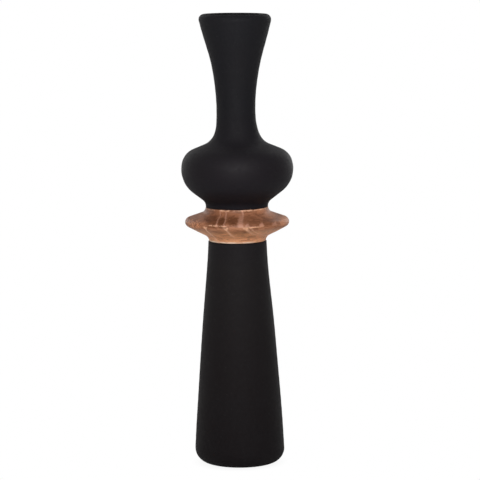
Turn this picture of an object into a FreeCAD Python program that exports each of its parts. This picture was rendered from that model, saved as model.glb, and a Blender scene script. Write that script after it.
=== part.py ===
import FreeCAD, Part
import math
import os

# Ceramic bud vase: a black vessel stands on a turned wooden ring, and both stand on a black
# hollow pedestal. A closed spigot under the vessel passes through the ring and is glued
# into a socket in the pedestal. Everything is turned about the Z axis. Lengths are in
# millimetres, angles in degrees, and heights are measured up from the standing surface.
# A draft is an angle off vertical, positive where the side leans outwards going up.

# Driving dimensions: the stack, from the bottom up
pad_proud = 0.3
pad_thickness = 1.5
body_top = 152.2
bond_thickness = 0.3
ring_height = 22.7
total_height = 305.0

# Driving dimensions: walls, joint and foot
wall = 4.0
floor_thickness = 4.8
spigot_radius = 14.8
spigot_depth = 16.0
socket_depth = 18.0
bore_clearance = 0.4
bond_inset = 0.6
edge_round = 0.25
straight_lead = 2.0
spigot_end_round = 3.0
pad_radius = 16.8
pad_clearance = 0.5

# Pedestal outside: foot corner before rounding, two places on the flank, and the top edge
foot_corner_radius = 30.82
foot_round = 9.5
foot_draft = -2.8
flank_points = [(27.03, 60.0), (23.53, 105.0)]
body_top_radius = 19.68
body_top_draft = -2.4

# Pedestal inside: the corner above the floor, and the taper under the socket's collar
hollow_floor_radius = 26.5
hollow_floor_round = 8.0
collar_radius = 17.3
collar_draft = -4.6
collar_round = 1.5

# Ring: its end radii, and corners as (radius, height above the ring's foot, rounding)
ring_bottom_radius = 19.2
ring_top_radius = 21.09
ring_lower_root = (19.63, 2.74, 5.0)
ring_tip = (39.54, 13.46, 3.0)
ring_upper_root = (21.54, 19.75, 4.4)

# Vessel: bulb corners as (radius, height above the seat, rounding), and places on the neck
seat_radius = 21.0
bulb_foot = (21.02, 3.06, 5.6)
bulb_lower = (40.1, 17.91, 19.55)
bulb_upper = (35.69, 36.35, 12.4)
neck_root = (17.65, 43.89, 12.45)
neck_start = (15.57, 48.34)
neck_points = [(13.15, 62.5), (13.91, 79.5), (16.56, 96.5)]

# Lip: where its outer and inner sides would meet the top, before rounding
lip_corner_radius = 25.3
lip_round = 3.65
lip_draft = 13.7
mouth_corner_radius = 19.2
mouth_round = 1.2
mouth_draft = 8.0

# Heights and radii that follow
ring_bottom = body_top + bond_thickness
ring_top = ring_bottom + ring_height
seat = ring_top + bond_thickness
spigot_bottom = body_top - spigot_depth
socket_bottom = body_top - socket_depth
recess_top = pad_thickness
floor_top = recess_top + floor_thickness
bore_radius = spigot_radius + bore_clearance
recess_radius = pad_radius + pad_clearance

# How far each path runs straight past its last rounded corner before the wall flows on
lip_lead = 1.4 * lip_round
mouth_lead = 2 * mouth_round
foot_lead = 1.2 * foot_round
hollow_floor_lead = 1.2 * hollow_floor_round
collar_lead = 2 * collar_round


def at(radius, height):
    """A point of an outline, in the half plane that is turned about the axis."""
    return FreeCAD.Vector(radius, 0, height)


def lean(radius, height, draft, length):
    """A (radius, height) point that lies a length away along a line that leans off vertical."""
    angle = math.radians(draft)
    return (radius + length * math.sin(angle), height + length * math.cos(angle))


def rounding(before, corner, after, radius):
    """The arc that rounds the corner between two straight stretches."""
    back = (before - corner).normalize()
    ahead = (after - corner).normalize()
    half_angle = back.getAngle(ahead) / 2
    reach = radius / math.tan(half_angle)
    crown = (back + ahead).normalize() * (radius / math.sin(half_angle) - radius)
    return Part.Arc(corner + back * reach, corner + crown, corner + ahead * reach)


def rounded_path(corners):
    """Edges along (radius, height, rounding) corners; a corner with no rounding stays sharp."""
    points = [at(corner[0], corner[1]) for corner in corners]
    edges = []
    here = points[0]
    for before, corner, after, spec in zip(points, points[1:], points[2:], corners[1:]):
        if len(spec) == 2:
            edges.append(Part.LineSegment(here, corner).toShape())
            here = corner
            continue
        arc = rounding(before, corner, after, spec[2])
        edges.append(Part.LineSegment(here, arc.StartPoint).toShape())
        edges.append(arc.toShape())
        here = arc.EndPoint
    edges.append(Part.LineSegment(here, points[-1]).toShape())
    return edges


def flowing_edge(path_before, points, path_after):
    """One smooth edge through the points that joins two paths and is tangent to both."""
    first = path_before[-1]
    last = path_after[0]
    through = [first.valueAt(first.LastParameter)]
    through += [at(radius, height) for radius, height in points]
    through.append(last.valueAt(last.FirstParameter))
    curve = Part.BSplineCurve()
    curve.interpolate(
        Points=through,
        InitialTangent=first.tangentAt(first.LastParameter),
        FinalTangent=last.tangentAt(last.FirstParameter),
    )
    return curve.toShape()


def inset(corners, distance):
    """The corners of a path that runs a distance to the left of another path."""
    points = [at(corner[0], corner[1]) for corner in corners]
    ways = [(b - a).normalize() for a, b in zip(points, points[1:])]
    lefts = [FreeCAD.Vector(-way.z, 0, way.x) for way in ways]
    moved = []
    for index, (point, spec) in enumerate(zip(points, corners)):
        left_in = lefts[max(index - 1, 0)]
        left_out = lefts[min(index, len(lefts) - 1)]
        place = point + (left_in + left_out) * (distance / (1 + left_in.dot(left_out)))
        turns_left = left_in.x * left_out.z > left_in.z * left_out.x
        change = -distance if turns_left else distance
        moved.append((place.x, place.z) + tuple(size + change for size in spec[2:]))
    return moved


def turned(edges):
    """The solid that a closed outline makes when it is turned about the vase's axis."""
    face = Part.Face(Part.Wire(edges))
    return face.revolve(at(0, 0), FreeCAD.Vector(0, 0, 1), 360)


def closed_outline(corners):
    """A closed run of edges along corners; the first corner is a sharp one."""
    return rounded_path(corners + corners[:1])


def raised(corners, height):
    """The corners, moved up by a height."""
    return [(corner[0], corner[1] + height) + tuple(corner[2:]) for corner in corners]


def thinned(points):
    """The places on the inner side of an upright wall, for places on its outer side."""
    return [(radius - wall, height) for radius, height in reversed(points)]


def upper_vessel():
    """Bulb and neck with a closed spigot underneath: one cast shell that holds the water."""
    bulb = raised([bulb_lower, bulb_upper, neck_root, neck_start], seat)
    neck = raised(neck_points, seat)
    outside = rounded_path(
        [
            (0, spigot_bottom + wall),
            (0, spigot_bottom),
            (spigot_radius, spigot_bottom, spigot_end_round),
            (spigot_radius, seat),
            (seat_radius, seat, edge_round),
        ]
        + raised([bulb_foot], seat)
        + bulb
    )
    lip = rounded_path(
        [
            lean(lip_corner_radius, total_height, lip_draft, -lip_lead),
            (lip_corner_radius, total_height, lip_round),
            (mouth_corner_radius, total_height, mouth_round),
            lean(mouth_corner_radius, total_height, mouth_draft, -mouth_lead),
        ]
    )
    cone_slope = (bulb_lower[1] - bulb_foot[1]) / (bulb_lower[0] - bulb_foot[0])
    cone_foot = seat + bulb_foot[1] - cone_slope * (bulb_foot[0] - spigot_radius)
    shell_outside = [
        (0, spigot_bottom),
        (spigot_radius, spigot_bottom, wall + spigot_end_round),
        (spigot_radius, cone_foot, wall),
    ]
    hollow = rounded_path(inset(shell_outside + bulb, wall)[::-1])
    neck_outside = flowing_edge(outside, neck, lip)
    neck_inside = flowing_edge(lip, thinned(neck), hollow)
    return turned(outside + [neck_outside] + lip + [neck_inside] + hollow)


def wood_ring():
    """Turned wooden ring with a rounded double-cone outside and a plain bore."""
    return turned(
        closed_outline(
            [(bore_radius, ring_bottom + ring_height / 2)]
            + [(bore_radius, ring_bottom, edge_round)]
            + [(ring_bottom_radius, ring_bottom, edge_round)]
            + raised([ring_lower_root, ring_tip, ring_upper_root], ring_bottom)
            + [(ring_top_radius, ring_top, edge_round)]
            + [(bore_radius, ring_top, edge_round)]
        )
    )


def lower_body():
    """Hollow tapering pedestal: a foot with a recess for its pad, and a socket at the top."""
    foot = rounded_path(
        [
            (0, floor_top),
            (0, recess_top),
            (recess_radius, recess_top, edge_round),
            (recess_radius, pad_proud, edge_round),
            (foot_corner_radius, pad_proud, foot_round),
            lean(foot_corner_radius, pad_proud, foot_draft, foot_lead),
        ]
    )
    collar_foot = socket_bottom - (collar_radius - bore_radius)
    top = rounded_path(
        [
            lean(body_top_radius, body_top, body_top_draft, -straight_lead),
            (body_top_radius, body_top, edge_round),
            (bore_radius, body_top, edge_round),
            (bore_radius, socket_bottom, collar_round),
            (collar_radius, collar_foot, collar_round),
            lean(collar_radius, collar_foot, collar_draft, -collar_lead),
        ]
    )
    hollow = rounded_path(
        [
            lean(hollow_floor_radius, floor_top, foot_draft, hollow_floor_lead),
            (hollow_floor_radius, floor_top, hollow_floor_round),
            (0, floor_top),
        ]
    )
    flank_outside = flowing_edge(foot, flank_points, top)
    flank_inside = flowing_edge(top, thinned(flank_points), hollow)
    return turned(foot + [flank_outside] + top + [flank_inside] + hollow)


def glue_band(inner_radius, outer_radius, bottom, top):
    """A plain band of set glue between two pieces."""
    corners = [(inner_radius, bottom), (outer_radius, bottom), (outer_radius, top)]
    return turned(closed_outline(corners + [(inner_radius, top)]))


def spigot_bond():
    """Sleeve of glue between the vessel's spigot and the pedestal's socket."""
    bottom = spigot_bottom + spigot_end_round
    return glue_band(spigot_radius, bore_radius, bottom, body_top - straight_lead)


def lower_bond():
    """Thin bed of glue between the pedestal's top and the ring."""
    outer_radius = ring_bottom_radius - bond_inset
    return glue_band(bore_radius + edge_round, outer_radius, body_top, ring_bottom)


def upper_bond():
    """Thin bed of glue between the ring and the vessel's seat."""
    outer_radius = seat_radius - bond_inset
    return glue_band(bore_radius + edge_round, outer_radius, ring_top, seat)


def base_pad():
    """Felt disc in the foot's recess; it stands a little proud, so the vase rests on it."""
    return turned(
        closed_outline(
            [
                (0, 0),
                (pad_radius, 0, edge_round),
                (pad_radius, pad_thickness, edge_round),
                (0, pad_thickness),
            ]
        )
    )


pieces = [upper_vessel, wood_ring, lower_body, spigot_bond, lower_bond, upper_bond, base_pad]
os.makedirs("parts", exist_ok=True)
for piece in pieces:
    piece().exportStep("parts/" + piece.__name__ + ".step")
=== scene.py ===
import math

import bpy
import numpy as np
from mathutils import Matrix, Vector


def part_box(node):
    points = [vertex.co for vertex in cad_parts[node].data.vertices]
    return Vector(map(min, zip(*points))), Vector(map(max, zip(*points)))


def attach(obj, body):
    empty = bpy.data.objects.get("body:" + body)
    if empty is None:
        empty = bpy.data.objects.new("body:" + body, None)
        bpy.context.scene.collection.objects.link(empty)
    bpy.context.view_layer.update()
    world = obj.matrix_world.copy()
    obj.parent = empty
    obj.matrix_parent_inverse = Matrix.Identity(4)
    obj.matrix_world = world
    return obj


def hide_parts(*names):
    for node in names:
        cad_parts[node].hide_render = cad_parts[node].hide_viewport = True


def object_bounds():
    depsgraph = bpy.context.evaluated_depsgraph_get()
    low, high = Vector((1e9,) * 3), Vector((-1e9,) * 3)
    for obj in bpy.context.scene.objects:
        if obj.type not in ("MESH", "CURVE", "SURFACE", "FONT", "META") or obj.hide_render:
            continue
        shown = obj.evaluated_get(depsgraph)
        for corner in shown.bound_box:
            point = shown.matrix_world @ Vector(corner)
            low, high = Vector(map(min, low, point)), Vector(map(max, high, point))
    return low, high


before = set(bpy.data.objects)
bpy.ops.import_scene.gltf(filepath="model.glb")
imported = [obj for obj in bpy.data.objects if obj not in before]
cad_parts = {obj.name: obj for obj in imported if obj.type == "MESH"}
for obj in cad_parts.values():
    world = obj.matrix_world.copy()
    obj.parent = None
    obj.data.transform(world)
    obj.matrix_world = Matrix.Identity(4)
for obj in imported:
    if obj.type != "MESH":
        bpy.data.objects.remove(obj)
cad_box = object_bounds()

# A black ceramic bud vase with a turned wooden ring. Each visible piece is turned about the
# Z axis from the outline of its CAD node, shaped by a few tenths of a millimetre, and given
# a node material. Lengths are in metres, or in millimetres where a comment says so.

MM = 0.001
BODY = "root"
HEIGHT = cad_box[1].z - cad_box[0].z
RING_LOW, RING_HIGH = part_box("wood_ring")

# The ring's ridge as a share of the ring's height, and the bulb's widest place as a share
# of the vase's.
RIDGE_SHARE = 0.565
BELLY_SHARE = 0.655
RIDGE = RING_LOW.z + RIDGE_SHARE * (RING_HIGH.z - RING_LOW.z)
BELLY = BELLY_SHARE * HEIGHT

# A CAD vertex this close to the half plane through +X (m) is on it, and two places there
# are the same if they agree to this many decimals (m).
SEAM_TOLERANCE = 1e-7
SEAM_DECIMALS = 6

# An outline that turns by more than this at a point has a corner there.
CORNER_DEGREES = 25

# How finely a piece is turned: the spacing along its outline (mm) and the places round it.
CERAMIC_MESH = (1.6, 256)
WOOD_MESH = (0.4, 384)
GLUE_MESH = (1.0, 144)
FELT_MESH = (0.4, 240)

# The vase is a hair off true: sideways shift (mm) at shares of its height, and the slope
# at which its lip and its foot are cut across.
SWAY = [
    (0.00, 0.0),
    (0.20, 0.05),
    (0.43, -0.13),
    (0.515, -0.06),
    (0.55, -0.28),
    (0.57, -0.20),
    (0.60, 0.0),
    (0.64, 0.32),
    (0.735, 0.32),
    (0.78, -0.06),
    (0.82, -0.10),
    (0.90, 0.0),
    (1.00, -0.1),
]
OFF_SQUARE = 0.0083

# Where each shaping starts and where it is full. Heights: the lip, the foot, and off the
# floor. Radii: outside the felt's recess, and outside the ring's glued ends. The last is a
# distance up or down from the ring.
LIP_SPAN = (0.82 * HEIGHT, 0.94 * HEIGHT)
FOOT_SPAN = (0.14 * HEIGHT, 0.05 * HEIGHT)
OFF_FLOOR_SPAN = (3 * MM, 9 * MM)
OFF_RECESS_SPAN = (19 * MM, 23 * MM)
OFF_ENDS_SPAN = (23 * MM, 28 * MM)
OFF_RING_SPAN = (4 * MM, 12 * MM)

# Waves round a piece: depth (mm), how many go round, and where they start (radians).
RING_WAVES = [(0.08, 3, 0.6), (0.05, 7, 2.0)]
RIDGE_WAVES = [(0.07, 2, 1.0), (0.04, 5, 0.0)]

# The ring's ridge was turned a little low (mm), and runs down to the right at this slope.
RIDGE_DROP = 0.20
RIDGE_SLOPE = 0.0022

# Throwing ripples: depth (mm), how many go round, and climb (mm) in one radian of turn.
RIPPLES = [(0.030, 1, 1.1), (0.050, 2, 24.0), (0.035, 5, -9.0)]

# Lathe lines on the ring (mm).
LATHE_DEPTH = 0.018
LATHE_PITCH = 1.6

# Fuzz on the felt's edge and faces (mm), the share of its radius where the edge starts, and
# the seed that the fuzz is drawn from.
EDGE_FUZZ = 0.35
FACE_FUZZ = 0.14
EDGE_START = 0.97
FUZZ_SEED = 7

# How fast the felt's hairs change along themselves, as a share of how fast across.
HAIRS_ALONG = 0.12

# Colours, as linear red, green, blue and opacity.
DULL_GLAZE = (0.0115, 0.0100, 0.0112, 1)
PALE_SPECK = (0.035, 0.033, 0.032, 1)
DARK_CLAY = (0.060, 0.048, 0.040, 1)
PALE_CLAY = (0.110, 0.092, 0.078, 1)
DARK_GLUE = (0.020, 0.013, 0.008, 1)
AMBER_GLUE = (0.040, 0.026, 0.015, 1)
GLUE_BUBBLE = (0.075, 0.055, 0.035, 1)
DARK_FELT = (0.010, 0.010, 0.011, 1)
GREY_FELT = (0.030, 0.030, 0.033, 1)
FELT_HAIR = (0.110, 0.110, 0.120, 1)
FLOOR_GREY = (0.80, 0.80, 0.80, 1)
SURROUND_GREY = (0.10, 0.10, 0.10, 1)
WHITE = (1.0, 1.0, 1.0, 1)

# The black glaze is a little brown at the foot and cool at the neck. Its tints also hold painted
# shade and light: darkest at the foot, lightest at the top of the pedestal, darker under the bulb
# and at the neck, and lighter round the bulb's widest place. Share of the height, then linear red,
# green and blue.
GLAZE_TINTS_AND_PAINTED_LIGHT = [
    (0.07, 0.0058, 0.0036, 0.0044),
    (0.25, 0.0078, 0.0054, 0.0060),
    (0.44, 0.0108, 0.0090, 0.0096),
    (0.58, 0.0072, 0.0062, 0.0094),
    (0.655, 0.0094, 0.0069, 0.0096),
    (0.80, 0.0070, 0.0069, 0.0090),
]

# The bulb is shinier round its widest place: how far up and down from it, as a share of the
# height, and how much less rough it is there.
HANDLED_REACH = 0.085
HANDLED_SHINE = 0.11

# Wood colours. Above the ridge, a darker shaded copy of the wood is painted where the slope faces
# up under the bulb (painted shade). Below it, a lighter lit copy is painted where the slope faces
# the floor (painted bounce light).
# Dark heartwood colour. It is also used for the painted shade under the ridge's painted highlights.
DARK_HEART_AND_SHADE = (0.125, 0.040, 0.015, 1)
SHADED_UPPER_DULL = (0.255, 0.099, 0.048, 1)
SHADED_UPPER_WARM = (0.415, 0.174, 0.092, 1)
SHADED_UPPER_VEIN = (0.520, 0.255, 0.170, 1)
LIT_LOWER_DULL = (0.760, 0.318, 0.152, 1)
LIT_LOWER_WARM = (0.965, 0.455, 0.230, 1)
LIT_LOWER_VEIN = (0.960, 0.560, 0.360, 1)
# A pale cream for the painted highlight on the ring's foot edge.
FOOT_HIGHLIGHT = (0.960, 0.720, 0.540, 1)

# The wood's pith lies along X: its place behind the axis and below the ridge (mm).
PITH_BEHIND = 22
PITH_BELOW = 48

# How fast each wood pattern changes along the grain, as a share of how fast it changes
# across it, and the same for the lines from front to back.
LAYERS_ALONG = 0.07
LINES_ALONG = 0.12
FIBRES_ALONG = 0.09
LINES_INWARD = 0.3

# How many times over the layers and the lines follow the wood's slow wander.
LAYERS_WANDER = 2.5
LINES_WANDER = 1.6

# Pale veins run as thin sheets through the wood, on one side of the ridge. Each has its
# place along X at the ridge (mm), its lean towards the back, half width (mm), how many
# times wider it is at the ridge, its strength, and how far up (or down, if negative) from
# the ridge it reaches (mm). All tip sideways by VEIN_TIP.
VEIN_TIP = -0.282
VEINS = [
    (-14.7, 0.336, 0.60, 2.2, 0.70, 20.0),
    (-8.7, 0.250, 0.60, 2.2, 0.75, 20.0),
    (2.3, 0.180, 1.85, 1.2, 0.90, 8.8),
    (2.6, 0.248, 0.80, 1.0, 0.75, 20.0),
    (6.5, 0.336, 0.80, 2.2, 0.80, 3.4),
    (14.9, 0.336, 0.55, 2.2, 0.80, 3.4),
    (21.5, 0.336, 0.45, 2.2, 0.60, 3.4),
    (-23.7, 0.300, 0.75, 2.2, 0.75, -18.0),
    (-8.1, 0.300, 1.00, 1.9, 0.75, -11.0),
    (5.4, 0.390, 1.30, 1.4, 0.56, -9.0),
    (8.6, 0.390, 0.60, 1.5, 0.45, -12.0),
]

# Patches in the wood: place along X, half width, place above the ridge and half height
# (mm), and strength.
DARK_PATCHES = [
    (-16.6, 5.2, 3.2, 3.2, 0.85),
    (-10.4, 2.8, 2.8, 3.2, 1.00),
    (-18.3, 4.0, 8.4, 2.6, 0.55),
    (-3.0, 4.0, 3.4, 2.5, 0.78),
    (11.0, 4.6, 2.2, 2.1, 0.55),
    (19.5, 4.0, 2.2, 2.6, 0.42),
    (14.5, 2.2, 7.0, 1.6, 0.35),
    (-14.5, 6.5, -4.2, 2.0, 0.24),
    (2.4, 5.2, -4.0, 2.4, 0.36),
    (8.8, 2.8, -8.5, 1.3, 0.35),
]
WARM_PATCHES = [
    (32.6, 5.2, 1.2, 3.2, 0.60),
    (22.2, 4.5, 6.6, 3.0, 0.30),
    (-28.0, 4.0, 6.5, 2.0, 0.25),
    (-29.0, 5.0, -0.4, 2.4, 0.60),
    (15.6, 3.0, 9.0, 2.2, 0.45),
]
BURL_PATCH = [(-30.0, 6.5, 1.0, 3.4, 1.0)]

# Painted highlights in runs along the ridge's front: middle along X, half length, place above the
# ridge (mm), and how far below each its line of painted shade lies (mm).
RIDGE_HIGHLIGHT_RUNS = [
    (-16.8, 4.4, 0.95),
    (-9.4, 2.4, 0.75),
    (10.8, 4.8, -0.15),
]
RIDGE_SHADE_BELOW = 1.1

# Soft lamps: name, degrees round from the front and degrees up, then distance, width,
# height and aim as multiples of the object's height, and power (W).
SOFTBOXES = [
    ("front", 0, 12, 1.5, 0.7, 0.7, 0.9, 1.95),
    ("left_side", -115, 10, 3.0, 1.5, 3.0, 0.6, 1.6),
    ("right_side", 115, 10, 3.0, 1.5, 3.0, 0.6, 1.0),
    ("left_back", -150, 15, 4.0, 2.0, 3.0, 0.7, 3.4),
    ("right_back", 150, 15, 4.0, 2.0, 3.0, 0.7, 4.2),
    ("overhead", 0, 88, 3.0, 2.0, 2.0, 0.7, 1.3),
]

# Floor: its half width, and how far the foot's contact shade reaches, as multiples of the
# object's height; how open the floor is (0 to 1) where the shade is deepest and where it
# ends; and how white the camera sees it at the two.
FLOOR_REACH = 12
CONTACT_REACH = 0.04
CONTACT_OPEN = (0.10, 0.70)
CONTACT_WHITE = (0.92, 1.0)

# Camera: place as multiples of the object's height, tilt and roll (degrees), lens and
# sensor (mm), and the nearest and farthest it sees (m).
CAMERA_AWAY = 5.573
CAMERA_UP = 1.2197
CAMERA_ASIDE = 0.0054
CAMERA_PITCH = 7.357
CAMERA_ROLL = 0.647
CAMERA_LENS = 190.09
CAMERA_SENSOR = 36.0
CAMERA_SEES = (0.05, 50.0)


# ---------------------------------------------------------------- outlines from the CAD


def crossing_links(mesh):
    """Where a mesh crosses the half plane through +X: each place's neighbours there."""
    places = {}
    for vertex in mesh.vertices:
        x, y, z = vertex.co
        if abs(y) < SEAM_TOLERANCE and x > -SEAM_TOLERANCE:
            places[vertex.index] = (round(x, SEAM_DECIMALS), round(z, SEAM_DECIMALS))
    links = {}
    for edge in mesh.edges:
        first, second = (places.get(index) for index in edge.vertices)
        if first is not None and second is not None and first != second:
            links.setdefault(first, set()).add(second)
            links.setdefault(second, set()).add(first)
    return links


def meridian(node):
    """The outline of a turned CAD node, as (radius, height) rows from its lowest point."""
    links = crossing_links(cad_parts[node].data)
    ends = [place for place, near in links.items() if len(near) == 1]
    here = min(ends or links, key=lambda place: (place[1], -place[0]))
    outline = [here]
    while True:
        onward = [place for place in links[here] if place not in outline[-2:]]
        if len(outline) == 1:
            onward = [max(onward, key=lambda place: place[0])]
        if not onward or onward[0] == outline[0]:
            break
        here = onward[0]
        outline.append(here)
    if ends:
        outline = [(0.0, outline[0][1])] + outline + [(0.0, outline[-1][1])]
    else:
        outline.append(outline[0])
    return np.array(outline)


def shared_way(chords, here, other, closed):
    """The outline's direction where one chord meets another: their mean on a curve, or the
    first one's own at a corner or at an open end."""
    if closed:
        other %= len(chords)
    way = chords[here] / np.hypot(*chords[here])
    if not 0 <= other < len(chords):
        return way
    other_way = chords[other] / np.hypot(*chords[other])
    if way @ other_way < math.cos(math.radians(CORNER_DEGREES)):
        return way
    mean = chords[here] + chords[other]
    return mean / np.hypot(*mean)


def smooth_outline(points, step):
    """The outline with finer points on smooth curves; corners and straight runs stay."""
    chords = np.diff(points, axis=0)
    closed = np.allclose(points[0], points[-1])
    fine = []
    for index, chord in enumerate(chords):
        length = np.hypot(*chord)
        leave = shared_way(chords, index, index - 1, closed) * length
        arrive = shared_way(chords, index, index + 1, closed) * length
        count = max(1, math.ceil(length / step))
        t = np.arange(count)[:, None] / count
        fine.append(
            (2 * t**3 - 3 * t**2 + 1) * points[index]
            + (t**3 - 2 * t**2 + t) * leave
            + (3 * t**2 - 2 * t**3) * points[index + 1]
            + (t**3 - t**2) * arrive
        )
    return np.vstack(fine + [points[-1:]])


def turned_mesh(name, outline, segments, shaping):
    """A mesh turned about the Z axis from an outline that is closed or ends on the axis."""
    closed = np.allclose(outline[0], outline[-1])
    rows = outline[:-1] if closed else outline[1:-1]
    turn = np.arange(segments) * (2 * math.pi / segments)
    radius, height = rows[:, :1], rows[:, 1:]
    grid = [radius * np.cos(turn), radius * np.sin(turn), height + 0 * turn]
    vertices = shaping(np.stack(grid, axis=-1)).reshape(-1, 3).tolist()
    here = np.arange(segments)
    after = np.roll(here, -1)
    faces = []
    for row in range(len(rows) if closed else len(rows) - 1):
        low = row * segments
        high = (row + 1) % len(rows) * segments
        quads = [low + here, low + after, high + after, high + here]
        faces += np.stack(quads, axis=-1).tolist()
    if not closed:
        hub = len(vertices)
        last_row = hub - segments
        vertices.append((0.0, 0.0, outline[0][1]))
        vertices.append((0.0, 0.0, outline[-1][1]))
        faces += np.stack([after, here, hub + 0 * here], axis=-1).tolist()
        faces += np.stack([last_row + here, last_row + after, hub + 1 + 0 * here], axis=-1).tolist()
    mesh = bpy.data.meshes.new(name)
    mesh.from_pydata(vertices, [], faces)
    mesh.update()
    mesh.polygons.foreach_set("use_smooth", [True] * len(mesh.polygons))
    piece = bpy.data.objects.new(name, mesh)
    bpy.context.scene.collection.objects.link(piece)
    return piece


# ---------------------------------------------------------------- shaping


def eased(value, empty, full):
    """0 at empty and 1 at full, smooth in between; full may be the lower of the two."""
    share = np.clip((value - empty) / (full - empty), 0, 1)
    return share * share * (3 - 2 * share)


def swayed(points):
    """The points with the stack's sideways shift for their height, eased between rows."""
    heights, shifts = np.array(SWAY).T * np.array([[HEIGHT], [MM]])
    z = points[..., 2]
    step = np.clip(np.searchsorted(heights, z) - 1, 0, len(SWAY) - 2)
    share = eased(z, heights[step], heights[step + 1])
    moved = points.copy()
    moved[..., 0] += shifts[step] + share * (shifts[step + 1] - shifts[step])
    return moved


def trimmed(points):
    """The points with the lip and the foot cut slightly aslant, clear of the felt's recess."""
    x, y, z = np.moveaxis(points, -1, 0)
    lip = eased(z, *LIP_SPAN)
    foot = eased(z, *FOOT_SPAN) * eased(np.hypot(x, y), *OFF_RECESS_SPAN)
    return np.stack([x, y, z - OFF_SQUARE * x * (lip + foot)], axis=-1)


def around(points):
    """Each point's angle about the axis and its distance from it."""
    return np.arctan2(points[..., 1], points[..., 0]), np.hypot(points[..., 0], points[..., 1])


def widened(points, radius, change):
    """The points moved out from the axis by a small change in radius."""
    share = 1 + change / np.maximum(radius, MM)
    return points * np.stack([share, share, np.ones_like(share)], axis=-1)


def waves(turn, rows):
    """A few waves round the axis, added up."""
    return MM * sum(depth * np.sin(count * turn + start) for depth, count, start in rows)


def thrown(points):
    """Faint throwing ripples on the ceramic, none of them near the glued joint or the foot."""
    turn, radius = around(points)
    z = points[..., 2]
    below = eased(RING_LOW.z - z, *OFF_RING_SPAN)
    above = eased(z - RING_HIGH.z, *OFF_RING_SPAN)
    off_floor = eased(z, *OFF_FLOOR_SPAN)
    ripple = 0 * z
    for depth, count, climb in RIPPLES:
        ripple += depth * MM * np.sin(count * turn + z / (climb * MM))
    return swayed(trimmed(widened(points, radius, ripple * (below + above) * off_floor)))


def carved(points):
    """Lathe lines and a slightly uneven ridge on the wooden ring, away from its joints."""
    turn, radius = around(points)
    free = eased(radius, *OFF_ENDS_SPAN)
    lathe = LATHE_DEPTH * MM * np.sin(2 * math.pi * radius / (LATHE_PITCH * MM))
    moved = widened(points, radius, free * waves(turn, RING_WAVES))
    drop = RIDGE_DROP * MM + RIDGE_SLOPE * points[..., 0]
    moved[..., 2] += free * (waves(turn, RIDGE_WAVES) + lathe - drop)
    return swayed(moved)


def felted(points):
    """A soft fuzzy surface, worn inwards from the cut disc so it stays in its recess."""
    radius = around(points)[1]
    low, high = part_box("base_pad")
    fuzz = np.random.default_rng(FUZZ_SEED).random(points.shape[:2])
    edge = eased(radius, EDGE_START * high.x, high.x)
    inwards = np.sign((low.z + high.z) / 2 - points[..., 2])
    moved = widened(points, radius, -EDGE_FUZZ * MM * fuzz * edge)
    moved[..., 2] += FACE_FUZZ * MM * fuzz * inwards
    return moved


# ---------------------------------------------------------------- node trees


# Blender's mix node has sockets for each data type: the places of its two colours among the
# inputs, and of the mixed colour among the outputs.
MIX_FIRST = 6
MIX_SECOND = 7
MIX_RESULT = 2

# Most of a noise's values lie between these.
USUAL_NOISE = (0.3, 0.7)


class Nodes:
    """Short calls for building the node tree of a material or a world."""

    def __init__(self, owner):
        owner.use_nodes = True
        self.owner = owner
        self.tree = owner.node_tree
        self.tree.nodes.clear()

    def make(self, kind, **settings):
        node = self.tree.nodes.new(kind)
        for key, value in settings.items():
            setattr(node, key, value)
        return node

    def feed(self, target, value):
        """Link a socket to another node's socket, or set it to a plain value."""
        if isinstance(value, bpy.types.NodeSocket):
            self.tree.links.new(value, target)
        else:
            target.default_value = value

    def fed(self, node, values):
        """The node's first output, with values fed to its sockets in their order."""
        for socket, value in zip(node.inputs, values):
            self.feed(socket, value)
        return node.outputs[0]

    def math(self, operation, *values):
        return self.fed(self.make("ShaderNodeMath", operation=operation), values)

    def plus(self, first, second):
        return self.math("ADD", first, second)

    def minus(self, first, second):
        return self.math("SUBTRACT", first, second)

    def times(self, first, second):
        return self.math("MULTIPLY", first, second)

    def larger(self, first, second):
        return self.math("MAXIMUM", first, second)

    def size(self, value):
        return self.math("ABSOLUTE", value)

    def square(self, value):
        return self.math("MULTIPLY", value, value)

    def ramp(self, value, empty, full):
        """0 at empty and 1 at full, smooth in between; full may be the lower of the two."""
        node = self.make("ShaderNodeMapRange", interpolation_type="SMOOTHSTEP")
        return self.fed(node, (value, empty, full, 0.0, 1.0))

    def stretch(self, value, from_low, from_high, low, high):
        """A value's run from from_low to from_high, mapped evenly to low and high."""
        node = self.make("ShaderNodeMapRange")
        return self.fed(node, (value, from_low, from_high, low, high))

    def between(self, share, low, high):
        """A share from 0 to 1, mapped evenly to low and high."""
        return self.stretch(share, 0, 1, low, high)

    def mix(self, factor, first, second):
        node = self.make("ShaderNodeMix", data_type="RGBA")
        self.feed(node.inputs[0], factor)
        self.feed(node.inputs[MIX_FIRST], first)
        self.feed(node.inputs[MIX_SECOND], second)
        return node.outputs[MIX_RESULT]

    def graded(self, value, stops):
        """A colour that changes evenly from one stop to the next along a value."""
        node = self.make("ShaderNodeValToRGB")
        elements = node.color_ramp.elements
        for stop in stops[1:-1]:
            elements.new(stop[0])
        for element, (place, *colour) in zip(elements, stops):
            element.position = place
            element.color = (*colour, 1)
        return self.fed(node, (value,))

    def seen(self):
        """1 for what the camera sees directly, and 0 for bounced light."""
        return self.make("ShaderNodeLightPath").outputs["Is Camera Ray"]


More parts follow.
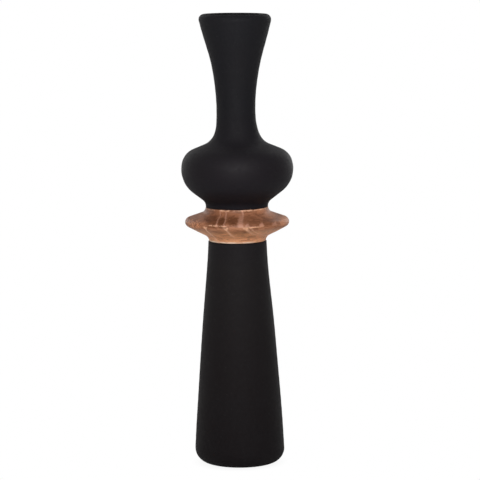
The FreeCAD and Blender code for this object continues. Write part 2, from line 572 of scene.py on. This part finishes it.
class Surface(Nodes):
    """The nodes of a new material, with the shaded point's place to build patterns on."""

    def __init__(self, name):
        super().__init__(bpy.data.materials.new(name))
        self.place = self.make("ShaderNodeNewGeometry").outputs["Position"]

    def axes(self, vector):
        node = self.make("ShaderNodeSeparateXYZ")
        self.feed(node.inputs[0], vector)
        return node.outputs[0], node.outputs[1], node.outputs[2]

    def vector(self, x, y, z):
        return self.fed(self.make("ShaderNodeCombineXYZ"), (x, y, z))

    def noise(self, size, detail, rough, vector=None):
        """Noise with features of a size; detail adds finer ones, and rough their weight."""
        node = self.make("ShaderNodeTexNoise")
        self.feed(node.inputs["Vector"], vector or self.place)
        node.inputs["Scale"].default_value = 1 / size
        node.inputs["Detail"].default_value = detail
        node.inputs["Roughness"].default_value = rough
        return node.outputs["Fac"]

    def even(self, noise, low, high):
        """A noise's usual run of values, mapped to low and high."""
        return self.stretch(noise, *USUAL_NOISE, low, high)

    def swing(self, noise, reach):
        """A noise's usual run of values, mapped to run from -reach to reach."""
        return self.even(noise, -reach, reach)

    def bump(self, height, distance, strength, under=None):
        """A normal raised by a height pattern, on top of another bump if one is given."""
        node = self.make("ShaderNodeBump")
        node.inputs["Distance"].default_value = distance
        node.inputs["Strength"].default_value = strength
        self.feed(node.inputs["Height"], height)
        if under is not None:
            self.feed(node.inputs["Normal"], under)
        return node.outputs[0]

    def shown(self, shader):
        """The material, once a shader is its surface."""
        output = self.make("ShaderNodeOutputMaterial")
        self.feed(output.inputs["Surface"], shader.outputs[0])
        return self.owner

    def finished(self, settings):
        """The material, with a principled shader that has these settings."""
        shader = self.make("ShaderNodeBsdfPrincipled")
        for name, value in settings.items():
            self.feed(shader.inputs[name], value)
        return self.shown(shader)


# ---------------------------------------------------------------- ceramic


def black_glaze():
    """Matte black glaze: cloudy sheen, fine tooth, faint turning lines, a few pale specks
    and a bare clay foot underneath."""
    nodes = Surface("black_glaze")
    height = nodes.axes(nodes.place)[2]
    cloud = nodes.noise(size=22 * MM, detail=4, rough=0.6)
    skin = nodes.noise(size=2.4 * MM, detail=3, rough=0.5)
    tooth = nodes.noise(size=0.45 * MM, detail=3, rough=0.6)
    specks = nodes.ramp(nodes.noise(size=0.7 * MM, detail=1, rough=0.5), empty=0.73, full=0.78)
    bare = nodes.ramp(height, empty=0.9 * MM, full=0.5 * MM)
    # Painted shade and light by height: the glaze's tint darkens towards the foot and under the
    # bulb, and lightens round the bulb's widest place.
    tint_and_painted_light = nodes.graded(nodes.times(height, 1 / HEIGHT), GLAZE_TINTS_AND_PAINTED_LIGHT)
    colour = nodes.mix(nodes.even(cloud, low=0.0, high=0.4), tint_and_painted_light, DULL_GLAZE)
    colour = nodes.mix(nodes.times(specks, 0.7), colour, PALE_SPECK)
    colour = nodes.mix(bare, colour, nodes.mix(tooth, DARK_CLAY, PALE_CLAY))
    from_belly = nodes.size(nodes.minus(height, BELLY))
    handled = nodes.ramp(from_belly, empty=HANDLED_REACH * HEIGHT, full=0.0)
    roughness = nodes.plus(nodes.even(cloud, low=0.70, high=0.80), nodes.swing(skin, 0.04))
    roughness = nodes.minus(roughness, nodes.times(handled, HANDLED_SHINE))
    level = nodes.vector(0.0, 0.0, nodes.plus(height, nodes.times(skin, 1.2 * MM)))
    lines = nodes.noise(size=0.8 * MM, detail=2, rough=0.5, vector=level)
    relief = nodes.bump(tooth, distance=0.12 * MM, strength=0.45)
    relief = nodes.bump(lines, distance=0.06 * MM, strength=0.5, under=relief)
    relief = nodes.bump(skin, distance=0.10 * MM, strength=0.5, under=relief)
    return nodes.finished(
        {
            "Base Color": colour,
            "Roughness": roughness,
            "Specular IOR Level": 0.17,
            "Normal": relief,
        }
    )


# ---------------------------------------------------------------- wood


class WoodPlaces:
    """Where the shaded point is in the ring: along X, in from the front, and up from the
    ridge, plain or made ragged for patch edges. A slow wander bends every line a little."""

    def __init__(self, nodes):
        self.x, self.y, self.z = nodes.axes(nodes.place)
        self.depth = nodes.plus(self.y, RING_HIGH.x)
        self.rise = nodes.minus(self.z, RIDGE)
        self.upper = nodes.ramp(self.rise, empty=-0.5 * MM, full=0.5 * MM)
        self.wander = nodes.swing(nodes.noise(size=7 * MM, detail=3, rough=0.55), 0.5 * MM)
        sideways = nodes.swing(nodes.noise(size=2.6 * MM, detail=4, rough=0.65), 2.6 * MM)
        upwards = nodes.swing(nodes.noise(size=1.7 * MM, detail=4, rough=0.65), 1.0 * MM)
        self.ragged_x = nodes.plus(self.x, sideways)
        self.ragged_rise = nodes.plus(self.rise, upwards)


def wood_layers(nodes, at):
    """Growth layers round a pith that lies along X, below and behind the ring."""
    behind = nodes.square(nodes.minus(at.y, PITH_BEHIND * MM))
    above = nodes.square(nodes.plus(at.rise, PITH_BELOW * MM))
    outward = nodes.math("SQRT", nodes.plus(behind, above))
    outward = nodes.plus(outward, nodes.times(at.wander, LAYERS_WANDER))
    along = nodes.vector(nodes.times(at.x, LAYERS_ALONG), outward, 0.0)
    return nodes.noise(size=1.5 * MM, detail=4, rough=0.6, vector=along)


def wood_lines(nodes, at):
    """The thin light and dark lines inside the growth layers."""
    level = nodes.plus(at.rise, nodes.times(at.wander, LINES_WANDER))
    inward = nodes.times(at.y, LINES_INWARD)
    along = nodes.vector(nodes.times(at.x, LINES_ALONG), inward, level)
    return nodes.noise(size=0.75 * MM, detail=3, rough=0.6, vector=along)


def wood_fibres(nodes, at):
    """Short fine pores along X."""
    along = nodes.vector(nodes.times(at.x, FIBRES_ALONG), at.y, at.z)
    return nodes.noise(size=0.35 * MM, detail=3, rough=0.6, vector=along)


def wood_veins(nodes, at):
    """Pale veins, 0 to 1, wider where they meet the ridge."""
    off_ridge = nodes.ramp(nodes.size(at.rise), empty=0.2 * MM, full=2.4 * MM)
    uneven = nodes.even(nodes.noise(size=2.0 * MM, detail=3, rough=0.6), low=0.55, high=1.4)
    lower = nodes.minus(1.0, at.upper)
    tipped = nodes.plus(nodes.minus(at.x, nodes.times(at.rise, VEIN_TIP)), at.wander)
    field = 0.0
    for place, lean, half_width, spread, strength, reach in VEINS:
        across = nodes.minus(nodes.minus(tipped, nodes.times(at.depth, lean)), place * MM)
        width = nodes.between(off_ridge, spread * half_width * MM, half_width * MM)
        share = nodes.math("DIVIDE", nodes.size(across), nodes.times(width, uneven))
        fade = nodes.ramp(at.rise, empty=reach * MM, full=0.4 * reach * MM)
        power = nodes.times(nodes.times(at.upper if reach > 0 else lower, strength), fade)
        field = nodes.larger(nodes.times(nodes.ramp(share, empty=1.3, full=0.45), power), field)
    broken = nodes.ramp(nodes.noise(size=1.6 * MM, detail=2, rough=0.5), empty=0.3, full=0.55)
    return nodes.times(field, nodes.between(broken, 0.6, 1.0))


def wood_patches(nodes, at, patches):
    """Ragged patches, 0 to 1."""
    field = 0.0
    for place, half_width, above, half_height, strength in patches:
        side = nodes.times(nodes.minus(at.ragged_x, place * MM), 1 / (half_width * MM))
        up = nodes.times(nodes.minus(at.ragged_rise, above * MM), 1 / (half_height * MM))
        reach = nodes.plus(nodes.square(side), nodes.square(up))
        field = nodes.larger(nodes.times(nodes.ramp(reach, empty=1.3, full=0.35), strength), field)
    return field


def wood_burl(nodes, at):
    """A patch of burl at the left tip: dark eyes and pale flecks, each 0 to 1."""
    inside = wood_patches(nodes, at, BURL_PATCH)
    eyes = nodes.noise(size=1.25 * MM, detail=2, rough=0.5)
    dark = nodes.times(inside, nodes.ramp(eyes, empty=0.52, full=0.62))
    pale = nodes.times(inside, nodes.ramp(eyes, empty=0.46, full=0.36))
    return dark, pale


def ridge_highlight_and_shade(nodes, at):
    """Painted highlights in runs along the front of the ridge, and the line of painted shade under
    each.
    """
    waver = nodes.swing(nodes.noise(size=2.4 * MM, detail=3, rough=0.6), 0.25 * MM)
    level = nodes.plus(at.rise, waver)
    ridge_highlight, under = 0.0, 0.0
    for middle, half_length, above in RIDGE_HIGHLIGHT_RUNS:
        off = nodes.minus(level, above * MM)
        along = nodes.size(nodes.minus(at.ragged_x, middle * MM))
        run = nodes.ramp(along, empty=half_length * MM, full=0.6 * half_length * MM)
        line = nodes.ramp(nodes.size(off), empty=0.62 * MM, full=0.15 * MM)
        off_dark = nodes.plus(off, RIDGE_SHADE_BELOW * MM)
        shade = nodes.ramp(nodes.size(off_dark), empty=0.8 * MM, full=0.1 * MM)
        ridge_highlight = nodes.larger(nodes.times(run, line), ridge_highlight)
        under = nodes.larger(nodes.times(run, shade), under)
    broken = nodes.ramp(nodes.noise(size=1.8 * MM, detail=3, rough=0.6), empty=0.28, full=0.52)
    # The painted highlight and shade are kept to the ring's front, towards the camera.
    front = nodes.ramp(at.y, empty=0.0, full=-8 * MM)
    return nodes.times(nodes.times(ridge_highlight, broken), front), nodes.times(under, front)


def rim_highlights(nodes, at):
    """Painted highlights on the edges where the ring meets the ceramic, each 0 to 1: the top one,
    fainter to the left, and the foot, fainter to the right."""
    broken = nodes.ramp(nodes.noise(size=5.0 * MM, detail=3, rough=0.6), empty=0.42, full=0.6)
    top = nodes.ramp(nodes.minus(RING_HIGH.z, at.z), empty=1.3 * MM, full=0.5 * MM)
    off_left = nodes.ramp(at.x, empty=-17 * MM, full=-9 * MM)
    top = nodes.times(top, nodes.between(off_left, 0.35, 1.0))
    foot = nodes.ramp(nodes.minus(at.z, RING_LOW.z), empty=1.4 * MM, full=0.5 * MM)
    to_right = nodes.ramp(at.x, empty=6 * MM, full=14 * MM)
    foot = nodes.times(foot, nodes.between(to_right, 1.0, 0.15))
    return nodes.times(top, broken), nodes.times(foot, nodes.between(broken, 1.0, 0.45))


def wood_with_painted_light(nodes, at, layers):
    """The wood's colour from its layers, with painted light: the shaded copy above the ridge and
    nearly as dark just below it, and the lit, paler copy towards the foot."""
    grain = nodes.ramp(layers, empty=0.3, full=0.7)
    upper = nodes.mix(grain, SHADED_UPPER_DULL, SHADED_UPPER_WARM)
    lower = nodes.mix(grain, LIT_LOWER_DULL, LIT_LOWER_WARM)
    # Painted shade: the shaded upper colour is carried nearly fully to just below the ridge and
    # fades out about 6 mm below it.
    shoulder = nodes.ramp(at.rise, empty=-6.2 * MM, full=-0.5 * MM)
    lower = nodes.mix(nodes.times(shoulder, 0.92), lower, upper)
    return nodes.mix(at.upper, lower, upper)


def turned_wood():
    """Lacquered brown hardwood: layered grain, pale veins and dark patches, with painted light: a
    shaded copy above the ridge and a lit one below, painted highlights along the ridge and on the
    rims, and painted shade under the ridge.
    """
    nodes = Surface("turned_wood")
    at = WoodPlaces(nodes)
    layers = wood_layers(nodes, at)
    lines = wood_lines(nodes, at)
    fibres = wood_fibres(nodes, at)
    heart = nodes.times(wood_patches(nodes, at, DARK_PATCHES), nodes.even(lines, low=0.7, high=1.1))
    eyes, flecks = wood_burl(nodes, at)
    ridge_highlight, under = ridge_highlight_and_shade(nodes, at)
    top_rim, foot_rim = rim_highlights(nodes, at)
    # Veins take the lit colour below the ridge and the shaded one above it, as painted light.
    lit_and_shaded_vein = nodes.mix(at.upper, LIT_LOWER_VEIN, SHADED_UPPER_VEIN)
    colour = wood_with_painted_light(nodes, at, layers)
    # What lies over the wood's base colour, lowest first: how much of it, its strength, its colour.
    overlays = (
        (nodes.ramp(lines, empty=0.48, full=0.68), 0.50, DARK_HEART_AND_SHADE),
        (nodes.ramp(fibres, empty=0.48, full=0.72), 0.36, DARK_HEART_AND_SHADE),
        (wood_patches(nodes, at, WARM_PATCHES), 0.85, LIT_LOWER_DULL),
        (heart, 1.0, DARK_HEART_AND_SHADE),
        (eyes, 0.75, DARK_HEART_AND_SHADE),
        (flecks, 0.6, LIT_LOWER_DULL),
        (wood_veins(nodes, at), 1.0, lit_and_shaded_vein),
        # Painted shade under the ridge, then the painted highlights along it.
        (under, 0.6, DARK_HEART_AND_SHADE),
        (ridge_highlight, 0.54, LIT_LOWER_VEIN),
        # Painted highlights on the ring's top and foot edges.
        (top_rim, 0.7, LIT_LOWER_VEIN),
        (foot_rim, 1.0, FOOT_HIGHLIGHT),
    )
    for amount, strength, over in overlays:
        colour = nodes.mix(nodes.times(amount, strength), colour, over)
    relief = nodes.bump(fibres, distance=0.05 * MM, strength=0.35)
    return nodes.finished(
        {
            "Base Color": colour,
            "Roughness": nodes.even(layers, low=0.45, high=0.58),
            "Specular IOR Level": 0.2,
            "Coat Weight": 0.06,
            "Coat Roughness": 0.28,
            "Normal": nodes.bump(layers, distance=0.08 * MM, strength=0.3, under=relief),
        }
    )


# ---------------------------------------------------------------- glue and felt


def set_glue():
    """Set glue: dark amber, a little cloudy, with small bubbles and a dimpled skin."""
    nodes = Surface("set_glue")
    cloud = nodes.noise(size=3 * MM, detail=3, rough=0.6)
    dimples = nodes.noise(size=0.6 * MM, detail=2, rough=0.5)
    bubbles = nodes.ramp(nodes.noise(size=0.5 * MM, detail=1, rough=0.5), empty=0.66, full=0.72)
    colour = nodes.mix(cloud, DARK_GLUE, AMBER_GLUE)
    return nodes.finished(
        {
            "Base Color": nodes.mix(bubbles, colour, GLUE_BUBBLE),
            "Roughness": nodes.even(cloud, low=0.28, high=0.45),
            "Normal": nodes.bump(dimples, distance=0.08 * MM, strength=0.5),
        }
    )


def grey_felt():
    """Charcoal felt: crossed fibres, pale stray hairs and a pilled, pressed surface."""
    nodes = Surface("grey_felt")
    x, y, z = nodes.axes(nodes.place)
    pile = nodes.noise(size=1.2 * MM, detail=5, rough=0.7)
    tangle = nodes.times(nodes.noise(size=4 * MM, detail=2, rough=0.5), 6 * MM)
    along = nodes.vector(nodes.times(x, HAIRS_ALONG), nodes.plus(y, tangle), z)
    across = nodes.vector(nodes.plus(x, tangle), nodes.times(y, HAIRS_ALONG), z)
    first = nodes.noise(size=0.22 * MM, detail=2, rough=0.5, vector=along)
    second = nodes.noise(size=0.22 * MM, detail=2, rough=0.5, vector=across)
    fibres = nodes.larger(first, second)
    hairs = nodes.times(nodes.ramp(fibres, empty=0.60, full=0.72), 0.7)
    colour = nodes.mix(pile, DARK_FELT, GREY_FELT)
    relief = nodes.bump(fibres, distance=0.18 * MM, strength=0.8)
    return nodes.finished(
        {
            "Base Color": nodes.mix(hairs, colour, FELT_HAIR),
            "Roughness": nodes.even(pile, low=0.88, high=1.0),
            "Sheen Weight": 0.3,
            "Normal": nodes.bump(pile, distance=0.25 * MM, strength=0.6, under=relief),
        }
    )


# ---------------------------------------------------------------- pieces


def make_piece(node, name, material, fineness, shaping):
    """A finished piece that stands for a CAD node."""
    step, segments = fineness
    outline = smooth_outline(meridian(node), step * MM)
    piece = turned_mesh(name, outline, segments, shaping)
    piece.data.materials.append(material)
    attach(piece, BODY)
    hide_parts(node)


def make_vase():
    """Every piece of the vase, from the top down."""
    glaze = black_glaze()
    wood = turned_wood()
    glue = set_glue()
    felt = grey_felt()
    make_piece("upper_vessel", "bulb_and_neck", glaze, CERAMIC_MESH, thrown)
    make_piece("upper_bond", "upper_glue", glue, GLUE_MESH, swayed)
    make_piece("wood_ring", "turned_ring", wood, WOOD_MESH, carved)
    make_piece("lower_bond", "lower_glue", glue, GLUE_MESH, swayed)
    make_piece("spigot_bond", "spigot_glue", glue, GLUE_MESH, swayed)
    make_piece("lower_body", "pedestal", glaze, CERAMIC_MESH, thrown)
    make_piece("base_pad", "felt_disc", felt, FELT_MESH, felted)


# ---------------------------------------------------------------- stage, light, camera


def pale_floor():
    """A wide pale floor: matte for bounced light, and white for the camera, but for a faint
    contact shade close to the foot."""
    size = FLOOR_REACH * HEIGHT
    mesh = bpy.data.meshes.new("floor")
    corners = [(-size, -size, 0), (size, -size, 0), (size, size, 0), (-size, size, 0)]
    mesh.from_pydata(corners, [], [(0, 1, 2, 3)])
    floor = bpy.data.objects.new("floor", mesh)
    bpy.context.scene.collection.objects.link(floor)
    nodes = Surface("pale_floor")
    matte = nodes.make("ShaderNodeBsdfDiffuse")
    nodes.feed(matte.inputs["Color"], FLOOR_GREY)
    contact = nodes.make("ShaderNodeAmbientOcclusion")
    nodes.feed(contact.inputs["Distance"], CONTACT_REACH * HEIGHT)
    white = nodes.make("ShaderNodeEmission")
    shade = nodes.stretch(contact.outputs["AO"], *CONTACT_OPEN, *CONTACT_WHITE)
    nodes.feed(white.inputs["Strength"], shade)
    both = nodes.make("ShaderNodeMixShader")
    nodes.fed(both, (nodes.seen(), matte.outputs[0], white.outputs[0]))
    mesh.materials.append(nodes.shown(both))


def studio_world():
    """White behind the object for the camera, and a dim even surround for its surfaces."""
    world = bpy.data.worlds.new("studio")
    bpy.context.scene.world = world
    nodes = Nodes(world)
    background = nodes.make("ShaderNodeBackground")
    nodes.feed(background.inputs["Color"], nodes.mix(nodes.seen(), SURROUND_GREY, WHITE))
    output = nodes.make("ShaderNodeOutputWorld")
    nodes.feed(output.inputs["Surface"], background.outputs[0])


def softbox(name, turn, tilt, away, width, height, aim, power):
    """A soft rectangular lamp that faces the vase's axis."""
    data = bpy.data.lights.new(name, "AREA")
    data.shape = "RECTANGLE"
    data.size = width * HEIGHT
    data.size_y = height * HEIGHT
    data.energy = power
    lamp = bpy.data.objects.new(name, data)
    bpy.context.scene.collection.objects.link(lamp)
    turn, tilt = math.radians(turn), math.radians(tilt)
    level = Vector((math.sin(turn), -math.cos(turn), 0))
    outward = level * math.cos(tilt) + Vector((0, 0, math.sin(tilt)))
    lamp.location = outward * away * HEIGHT + Vector((0, 0, aim * HEIGHT))
    lamp.rotation_euler = outward.to_track_quat("Z", "Y").to_euler()
    lamp.visible_camera = False


def camera():
    """A long lens a little above the mouth, tipped down and rolled by under a degree."""
    pitch, roll = math.radians(CAMERA_PITCH), math.radians(CAMERA_ROLL)
    level_right = Vector((1, 0, 0))
    level_up = Vector((0, math.sin(pitch), math.cos(pitch)))
    ahead = Vector((0, math.cos(pitch), -math.sin(pitch)))
    right = level_right * math.cos(roll) - level_up * math.sin(roll)
    up = level_up * math.cos(roll) + level_right * math.sin(roll)
    data = bpy.data.cameras.new("camera")
    data.lens = CAMERA_LENS
    data.sensor_width = CAMERA_SENSOR
    data.clip_start, data.clip_end = CAMERA_SEES
    seat = Matrix((right, up, -ahead)).transposed().to_4x4()
    seat.translation = Vector((CAMERA_ASIDE, -CAMERA_AWAY, CAMERA_UP)) * HEIGHT
    eye = bpy.data.objects.new("camera", data)
    eye.matrix_world = seat
    bpy.context.scene.collection.objects.link(eye)
    bpy.context.scene.camera = eye


make_vase()
pale_floor()
studio_world()
for lamp in SOFTBOXES:
    softbox(*lamp)
camera()
bpy.context.scene.view_settings.view_transform = "Standard"
